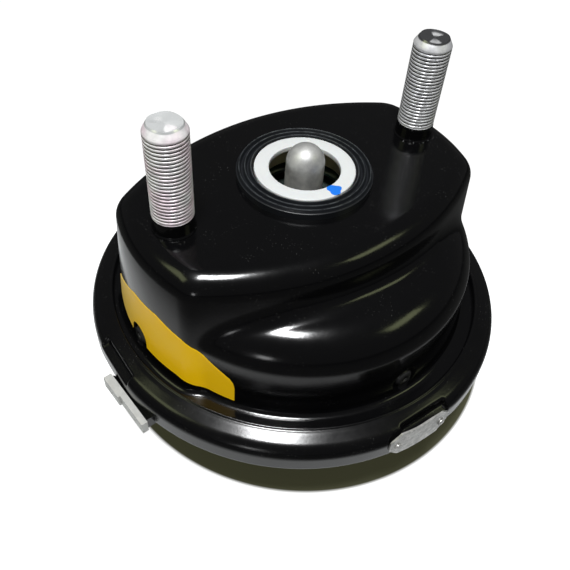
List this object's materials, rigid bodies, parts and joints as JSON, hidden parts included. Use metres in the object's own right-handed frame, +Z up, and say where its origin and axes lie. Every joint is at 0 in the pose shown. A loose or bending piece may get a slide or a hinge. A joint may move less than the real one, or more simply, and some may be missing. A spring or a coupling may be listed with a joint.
{
  "type": "air brake chamber",
  "caption": "Round diaphragm brake chamber with a raised mounting bridge, two threaded studs, a clamp ring and a sprung push rod that leans in a ball socket.",
  "frame": {"origin": "centre of the mounting face, on the push rod's axis", "axes": "+Z out of the mounting face along the studs and the push rod; +X through the right-hand stud; the chamber stands on its foot ring with +Z up"},
  "size_m": [0.1934, 0.1908, 0.1525],
  "materials": {
    "black_paint": "gloss",
    "zinc": "satin",
    "bare_steel": "satin",
    "rod_steel": "satin",
    "rubber": "matte",
    "white_plastic": "satin",
    "black_plastic": "satin",
    "plate": "satin"
  },
  "bodies": {
    "housing": {"non_pressure_housing": "black_paint", "pressure_housing": "black_paint", "clamp_ring": "black_paint", "bracket_lug": "black_paint", "bracket_bar": "zinc", "bracket_screws": "zinc", "mounting_stud_left": "zinc", "mounting_stud_right": "zinc", "mounting_seal": "rubber", "guide_ring": "white_plastic", "gaiter": "rubber", "spring_seat": "bare_steel", "return_spring": "bare_steel", "diaphragm": "rubber", "drain_inserts": "black_plastic", "port_bosses": "black_paint", "port_plug": "zinc", "type_plate": "plate", "plate_rivets": "plate"},
    "piston": {"piston_plate": "bare_steel", "rod_socket": "bare_steel", "socket_bush": "white_plastic", "rod_retainer": "bare_steel"},
    "push_rod": {"push_rod": "rod_steel"}
  },
  "joints": [
    {"name": "piston_stroke", "type": "slide", "parent": "housing", "child": "piston", "axis": [0, 0, 1], "range_m": [0, 0.057], "stiffness_N_per_m": 2280, "springref_m": -0.0526, "deforming": ["return_spring", "gaiter", "diaphragm"]},
    {"name": "push_rod_lean", "type": "hinge", "parent": "piston", "child": "push_rod", "pos_m": [0, 0, -0.0744], "axis": [1, 0, 0], "range_deg": [-4, 4], "stiffness_Nm_per_rad": 20}
  ]
}
